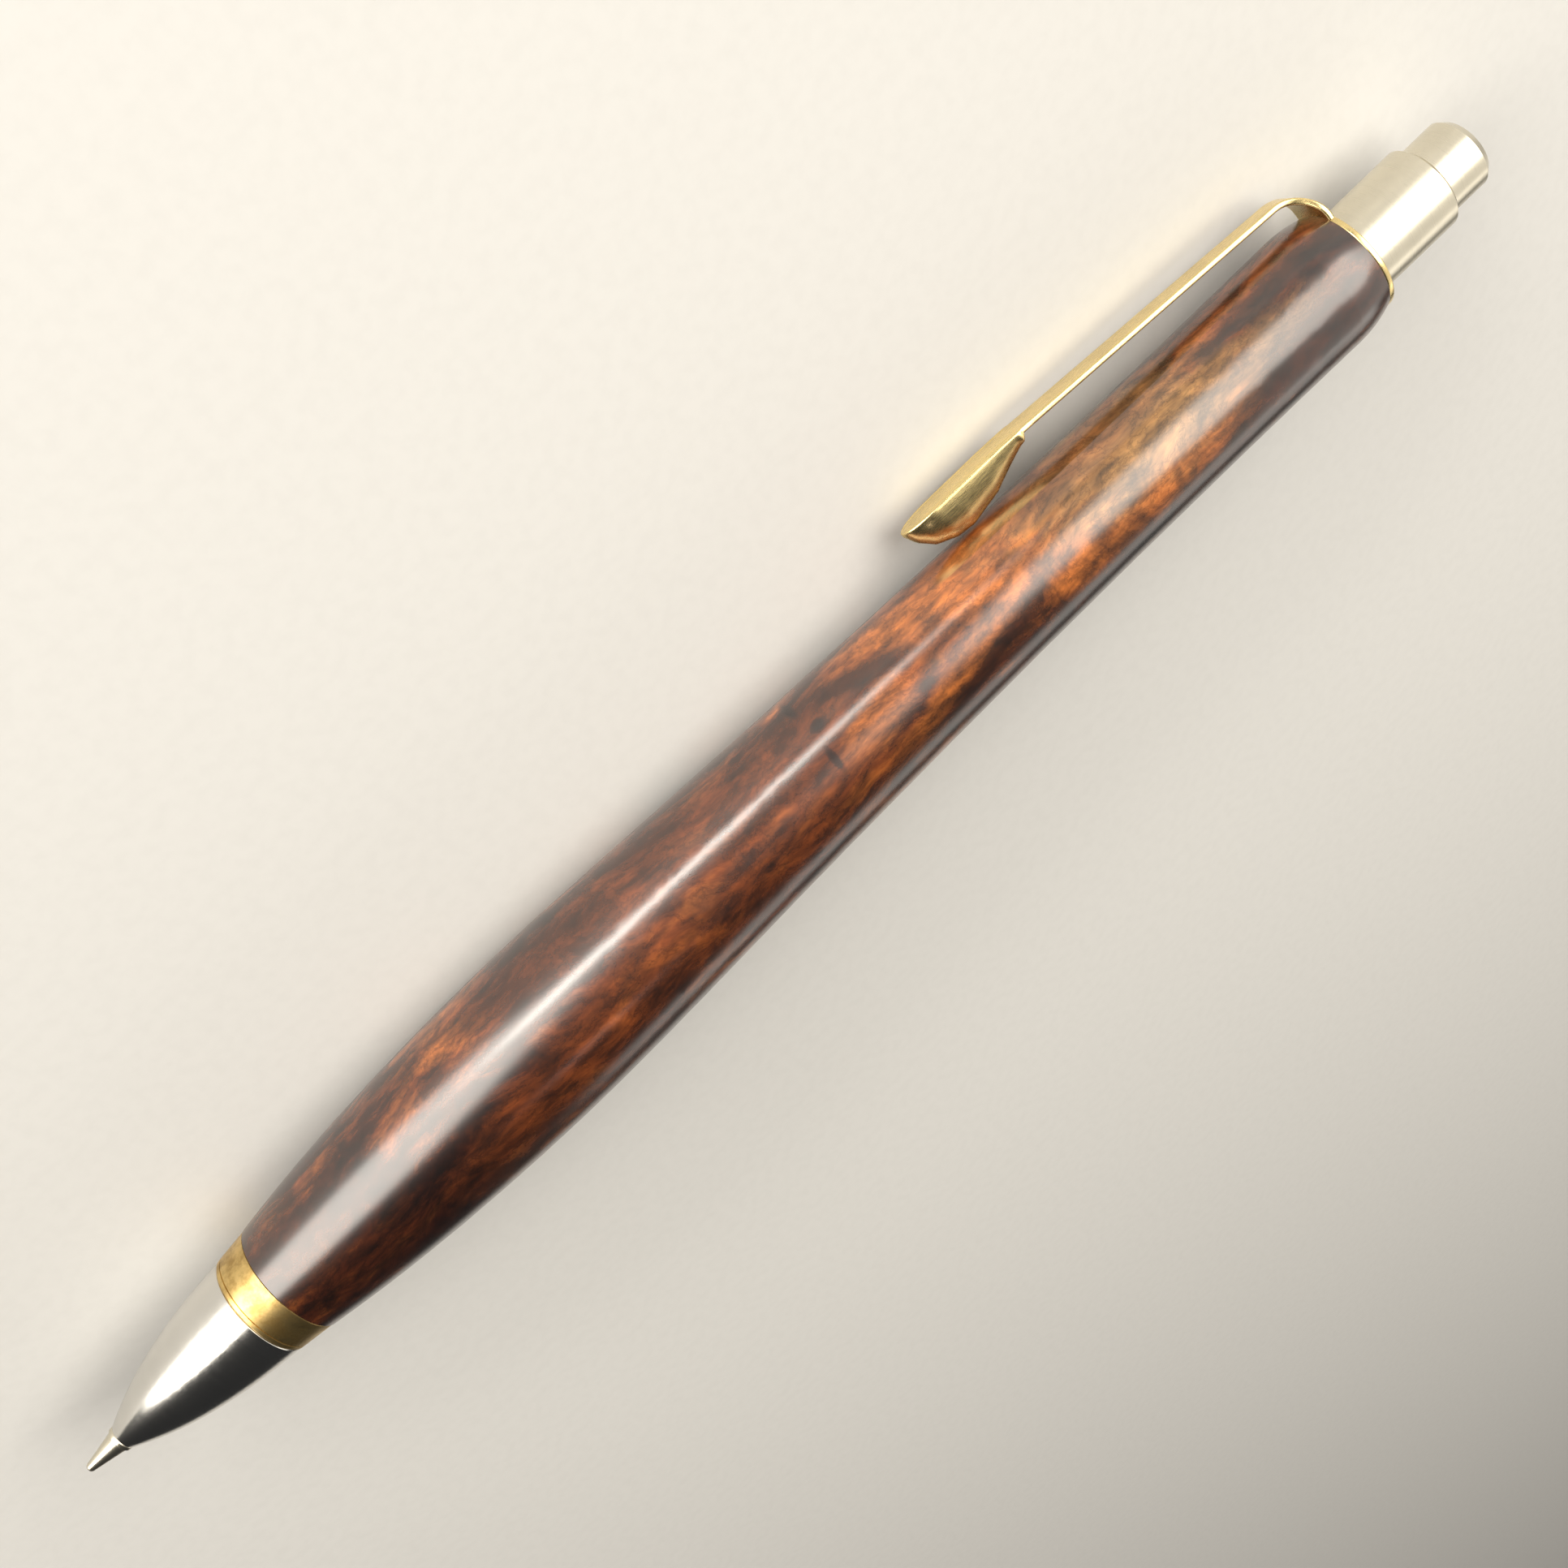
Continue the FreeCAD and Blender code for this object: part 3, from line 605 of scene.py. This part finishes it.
def clip_stations(clip, ring_x, keel_height):
    """Stations along the clip from its tab to its bow.

    Each one holds the place along the axis, the height over it, the lean of the
    outer face's normal from the axis, and the section's half width, depth, hull and crease.
    """
    centre_x, centre_h = ring_x - clip.bend, clip.bend_top - clip.bend
    stations = []

    def half_width(x):
        flared = max(0.0, (x - (ring_x - clip.flare)) / clip.flare)
        return clip.half_bend + (clip.half_tab - clip.half_bend) * flared ** 2.6

    for height in even(5, TAB_FOOT, centre_h)[:-1]:
        stations.append((ring_x, height, 0.0, clip.half_tab, clip.sheet, 0.0, 0.0))
    for lean in even(26, 0.0, QUARTER - clip.slope):
        x = centre_x + clip.bend * math.cos(lean)
        height = centre_h + clip.bend * math.sin(lean)
        stations.append((x, height, lean, half_width(x), clip.sheet, 0.0, 0.0))
    start_x, start_h, lean = stations[-1][:3]

    stern_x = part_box("clip_arm")[0].x + clip.boat_length
    for part in even(24)[1:]:
        x = start_x + (stern_x - start_x) * part
        half = clip.half_bend + (clip.half_boat - clip.half_bend) * part
        height = start_h + (start_x - x) * math.tan(clip.slope)
        stations.append((x, height, lean, half, clip.sheet, 0.0, 0.0))
    deck = stations[-1][1]
    full = deck - keel_height
    for part in even(64)[1:]:
        back = 1 - part
        x = stern_x - clip.boat_length * part
        nose = min(1.0, back * clip.boat_length / clip.bow)
        round_bow = math.sqrt(max(0.0, 1 - (1 - nose) ** 2))
        shoulder = min(1.0, part / 0.045)
        widening = (clip.boat_half - clip.half_boat) * math.sin(QUARTER * shoulder)
        half = (clip.half_boat + widening) * round_bow
        folded = min(1.0, part / 0.06)
        crease = clip.crease * min(1.0, part / 0.08) * min(1.0, back / 0.06)
        height = deck + 0.10 * MM * math.sin(QUARTER * min(1.0, part / 0.3)) * round_bow
        depth = boat_depth(clip, back, full)
        stations.append((x, height, QUARTER, max(half, 0.06 * MM), depth, folded, crease))
    return stations


def washer_rows(clip, ring_x, inner, outer, steps=96):
    """Rows of points round the clip's ring, whose rim is lightly rounded."""
    ease, thick = 0.12 * MM, clip.sheet
    profile = [(0.0, inner), (-thick, inner)]
    for turn in even(5, 0, QUARTER):
        profile.append((-thick + ease - ease * math.cos(turn), outer - ease + ease * math.sin(turn)))
    for turn in even(5, 0, QUARTER):
        profile.append((-ease + ease * math.sin(turn), outer - ease + ease * math.cos(turn)))
    rows = []
    for step in range(steps):
        away = outward(2 * math.pi * step / steps)
        rows.append([axis_point(ring_x + x) + away * radius for x, radius in profile])
    return rows


def clip_skin(clip, material):
    """The clip stamped from one strip: its ring, tab, bend, arm and folded boat."""
    ring_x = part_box("clip_ring")[1].x
    out, side = outward(0.0), outward(QUARTER)
    arm_mesh = frame["nodes"]["clip_arm"].data.vertices
    boat_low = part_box("clip_arm")[0].x + 0.7 * clip.boat_length
    heights = [(vertex.co - axis_point()).dot(out) for vertex in arm_mesh if vertex.co.x < boat_low]
    keel_height = min(heights)

    points, faces = [], []
    stations = clip_stations(clip, ring_x, keel_height)
    for x, height, lean, half, depth, hull, crease in stations:
        normal = Vector((1, 0, 0)) * math.cos(lean) + out * math.sin(lean)
        middle = axis_point(x) + out * height
        right = clip_section(half, depth, hull, crease)
        loop = right + [(-across, up) for across, up in reversed(right[1:-1])]
        points += [middle + side * across + normal * up for across, up in loop]
    columns = len(loop)
    faces += strip_faces(len(stations), columns)

    washer = frame["nodes"]["clip_ring"].data.vertices
    spans = [math.hypot(*(vertex.co - axis_point()).yz) for vertex in washer]
    lower = [
        span for vertex, span in zip(washer, spans)
        if (vertex.co - axis_point()).dot(out) < 0
    ]
    rows = washer_rows(clip, ring_x, min(spans), max(lower))
    first, count = len(points), len(rows[0])
    points += [point for row in rows for point in row]
    for row in range(len(rows)):
        after = (row + 1) % len(rows)
        for column in range(count):
            beside = (column + 1) % count
            corners = (
                row * count + column, row * count + beside,
                after * count + beside, after * count + column,
            )
            faces.append(tuple(first + index for index in corners))

    skin = mesh_piece("clip_skin", points, faces, material)
    skin.data.set_sharp_from_angle(angle=math.radians(50))
    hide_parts("clip_ring", "clip_arm")
    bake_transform(skin)


def coil_skin(material, wire=0.40 * MM, turns=8, steps=40, sides=14):
    """Round wire wound into the chuck's spring, at an even pitch from seat to seat."""
    low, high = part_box("chuck_spring")
    centre = axis_point()
    mean = (high.z - low.z - wire) / 2
    start, run = low.x + wire / 2, high.x - low.x - wire
    points = []
    count = turns * steps
    for step in range(count + 1):
        part = step / count
        turn = 2 * math.pi * turns * part
        away = Vector((0, math.cos(turn), math.sin(turn)))
        middle = Vector((start + run * part, centre.y, centre.z)) + away * mean
        for side in range(sides):
            around_wire = 2 * math.pi * side / sides
            points.append(
                middle
                + away * (wire / 2 * math.cos(around_wire))
                + Vector((wire / 2 * math.sin(around_wire), 0, 0))
            )
    coil = mesh_piece("spring_coil", points, strip_faces(count + 1, sides), material)
    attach(coil, "barrel")
    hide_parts("chuck_spring")
    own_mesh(coil)


# Stage -----------------------------------------------------------------------

def view_axes(stage):
    """The camera's direction out from the axis, and its cross direction on the clip's side."""
    toward = outward(stage.view_side)
    beside = toward.cross(Vector((1, 0, 0)))
    return toward, beside


WARM = (1.0, 0.955, 0.875)
PEACH = (1.0, 0.95, 0.86)
ROSE = (1.0, 0.86, 0.84)

# Lamps: name, degrees toward the tail, degrees across, distance and size in metres, watts
LAMPS = (
    ("tip_softbox", -35, -20, 0.45, (0.46, 0.46), 3.5, WARM, "ELLIPSE"),
    ("middle_strip", -3, -25, 0.45, (0.22, 0.06), 0.62, WARM, "ELLIPSE"),
    ("tail_softbox", 36, 20, 0.45, (0.44, 0.44), 2.5, WARM, "ELLIPSE"),
    ("tail_backdrop", 44, -25, 0.47, (0.34, 0.26), 0.26, WARM, "RECTANGLE"),
    ("tail_fill", 46, 82, 0.45, (0.40, 0.42), 0.50, PEACH, "RECTANGLE"),
    ("front_fill", 12, 112, 0.70, (0.60, 0.24), 0.6, WARM, "RECTANGLE"),
    ("window_glint", -10.6, 53, 0.45, (0.050, 0.016), 0.012, ROSE, "RECTANGLE"),
)


def lamp(stage, name, along, across, distance, size, power, tint, shape):
    """Softbox that looks at the pencil, set by angles from the camera's own direction."""
    toward, beside = view_axes(stage)
    along, across = math.radians(along), math.radians(across)
    direction = (toward * math.cos(across) - beside * math.sin(across)) * math.cos(along)
    direction += Vector((1, 0, 0)) * math.sin(along)
    data = bpy.data.lights.new(name, "AREA")
    data.shape = shape
    data.size, data.size_y = size
    data.energy = power
    data.color = tint
    source = bpy.data.objects.new(name, data)
    source.location = axis_point() + direction * distance
    x_axis = (Vector((1, 0, 0)) - direction * direction.x).normalized()
    turned = Matrix((x_axis, direction.cross(x_axis), direction)).transposed().to_4x4()
    source.matrix_world = Matrix.Translation(source.location) @ turned
    source.visible_camera = False
    bpy.context.scene.collection.objects.link(source)


def pale_room(stage):
    """A world that is pale to look at and gives only a little light."""
    world = bpy.data.worlds.new("room")
    world.use_nodes = True
    tree = world.node_tree
    room = tree.nodes["Background"]
    room.inputs["Color"].default_value = (*stage.world, 1.0)
    seen = tree.nodes.new("ShaderNodeLightPath")
    strength = tree.nodes.new("ShaderNodeMapRange")
    strength.inputs["To Min"].default_value = 0.03
    strength.inputs["To Max"].default_value = 0.75
    tree.links.new(seen.outputs["Is Camera Ray"], strength.inputs["Value"])
    tree.links.new(strength.outputs["Result"], room.inputs["Strength"])
    return world


# Operators -------------------------------------------------------------------

class PENCIL_OT_wood(Operator):
    """Finish the turned wooden barrel"""
    bl_idname = "pencil.wood"
    bl_label = "Burl barrel"

    def execute(self, context):
        finish_node("barrel", Burl(context.scene.pencil_wood).build())
        return {"FINISHED"}


class PENCIL_OT_steel(Operator):
    """Finish the nose cone, tip, tail collar and push button"""
    bl_idname = "pencil.steel"
    bl_label = "Steel fittings"

    def execute(self, context):
        metal = context.scene.pencil_metal
        satin = turned_metal("satin_steel", metal.satin, 0.30, 0.05, 0.0000006)
        finish_node("nose_cone", turned_metal("polished_steel", metal.steel, 0.20, 0.05, 0.0000008))
        finish_node("tip_guide", satin)
        finish_node("tail_collar", satin)
        finish_node("push_button", satin)
        return {"FINISHED"}


class PENCIL_OT_trim(Operator):
    """Finish the brass trim ring"""
    bl_idname = "pencil.trim"
    bl_label = "Trim ring"

    def execute(self, context):
        metal = context.scene.pencil_metal
        finish_node("front_ring", patina_brass("trim_brass", metal.brass, metal.brass_dull, 0.30))
        return {"FINISHED"}


class PENCIL_OT_clip(Operator):
    """Finish the pocket clip"""
    bl_idname = "pencil.clip"
    bl_label = "Pocket clip"

    def execute(self, context):
        metal = context.scene.pencil_metal
        clip_skin(context.scene.pencil_clip, drawn_brass("clip_brass", metal.clip, 0.24))
        return {"FINISHED"}


class PENCIL_OT_works(Operator):
    """Finish the mechanism inside"""
    bl_idname = "pencil.works"
    bl_label = "Mechanism"

    def execute(self, context):
        metal = context.scene.pencil_metal
        brass = turned_metal("inner_brass", metal.inner, 0.24, 0.08, 0.0000015)
        for name in ("front_insert", "rear_insert", "chuck", "clutch_ring",
                     "mechanism_sleeve", "lead_tube", "eraser_holder"):
            finish_node(name, brass)
        graphite = moulded("graphite", (0.045, 0.045, 0.048), 0.42, 5000.0, 0.000002)
        finish_node("lead", graphite)
        finish_node("spare_leads", graphite)
        finish_node("lead_retainer", moulded("rubber_black", (0.02, 0.02, 0.02), 0.70))
        finish_node("eraser", moulded("eraser_white", (0.80, 0.79, 0.76), 0.65))
        finish_node("tube_connector", moulded("tube_plastic", (0.70, 0.68, 0.62), 0.38))
        return {"FINISHED"}


class PENCIL_OT_spring(Operator):
    """Wind the chuck's spring"""
    bl_idname = "pencil.spring"
    bl_label = "Chuck spring"

    def execute(self, context):
        coil_skin(turned_metal("spring_steel", context.scene.pencil_metal.steel, 0.26, 0.06))
        return {"FINISHED"}


class PENCIL_OT_stage(Operator):
    """Set the floor, the lamps and the camera"""
    bl_idname = "pencil.stage"
    bl_label = "Stage"

    def execute(self, context):
        stage = context.scene.pencil_stage
        reach, floor_z = 3.0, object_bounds()[0][2]
        paint = Paint("pale_floor")
        speck = paint.noise(paint.stretch((900, 900, 900)), detail=3, rough=0.5)
        tint = tuple(stage.floor)
        darker = tuple(0.97 * part for part in tint)
        paint.link(paint.mix(paint.level(speck, 0.3, 0.8), tint, darker), "Base Color")
        paint.put(Roughness=0.85, Specular_IOR_Level=0.2)
        signs = ((-1, -1), (1, -1), (1, 1), (-1, 1))
        corners = [(reach * x, reach * y, floor_z) for x, y in signs]
        mesh = bpy.data.meshes.new("floor")
        mesh.from_pydata(corners, [], [(0, 1, 2, 3)])
        mesh.materials.append(paint.material)
        floor = bpy.data.objects.new("floor", mesh)
        context.scene.collection.objects.link(floor)
        floor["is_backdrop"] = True

        for settings in LAMPS:
            lamp(stage, *settings)
        context.scene.world = pale_room(stage)

        toward, beside = view_axes(stage)
        forward = Vector((1, 0, 0))
        right = forward * math.cos(stage.roll) - beside * math.sin(stage.roll)
        up = forward * math.sin(stage.roll) + beside * math.cos(stage.roll)
        tip_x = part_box("tip_guide")[0].x
        aim = axis_point(tip_x + stage.aim_from_tip) + beside * stage.aim_beside
        data = bpy.data.cameras.new("camera")
        data.lens = stage.lens
        data.sensor_width = 36.0
        data.clip_start, data.clip_end = 0.005, 20.0
        camera = bpy.data.objects.new("camera", data)
        camera.matrix_world = (
            Matrix.Translation(aim + toward * stage.distance)
            @ Matrix((right, up, toward)).transposed().to_4x4()
        )
        context.scene.collection.objects.link(camera)
        context.scene.camera = camera
        context.scene.view_settings.view_transform = "Standard"
        return {"FINISHED"}


STEPS = (
    PENCIL_OT_wood,
    PENCIL_OT_steel,
    PENCIL_OT_trim,
    PENCIL_OT_clip,
    PENCIL_OT_works,
    PENCIL_OT_spring,
    PENCIL_OT_stage,
)


class PENCIL_PT_panel(Panel):
    """Lists the pencil's pieces and their settings"""
    bl_idname = "PENCIL_PT_panel"
    bl_label = "Burl Pencil"
    bl_space_type = "VIEW_3D"
    bl_region_type = "UI"
    bl_category = "Pencil"

    def draw(self, context):
        for group in ("pencil_wood", "pencil_metal", "pencil_clip", "pencil_stage"):
            settings = getattr(context.scene, group)
            column = self.layout.column(align=True)
            for name in settings.bl_rna.properties.keys():
                if name not in ("rna_type", "name"):
                    column.prop(settings, name)
        for step in STEPS:
            self.layout.operator(step.bl_idname)


GROUPS = {
    "pencil_wood": PencilWood,
    "pencil_metal": PencilMetal,
    "pencil_clip": PencilClip,
    "pencil_stage": PencilStage,
}


def register():
    for group in GROUPS.values():
        bpy.utils.register_class(group)
    for step in STEPS:
        bpy.utils.register_class(step)
    bpy.utils.register_class(PENCIL_PT_panel)
    for name, group in GROUPS.items():
        setattr(bpy.types.Scene, name, PointerProperty(type=group))


def unregister():
    for name in GROUPS:
        delattr(bpy.types.Scene, name)
    bpy.utils.unregister_class(PENCIL_PT_panel)
    for step in reversed(STEPS):
        bpy.utils.unregister_class(step)
    for group in reversed(GROUPS.values()):
        bpy.utils.unregister_class(group)


def main():
    register()
    bpy.ops.pencil.wood()
    bpy.ops.pencil.steel()
    bpy.ops.pencil.trim()
    bpy.ops.pencil.clip()
    bpy.ops.pencil.works()
    bpy.ops.pencil.spring()
    bpy.ops.pencil.stage()


if __name__ == "__main__":
    main()
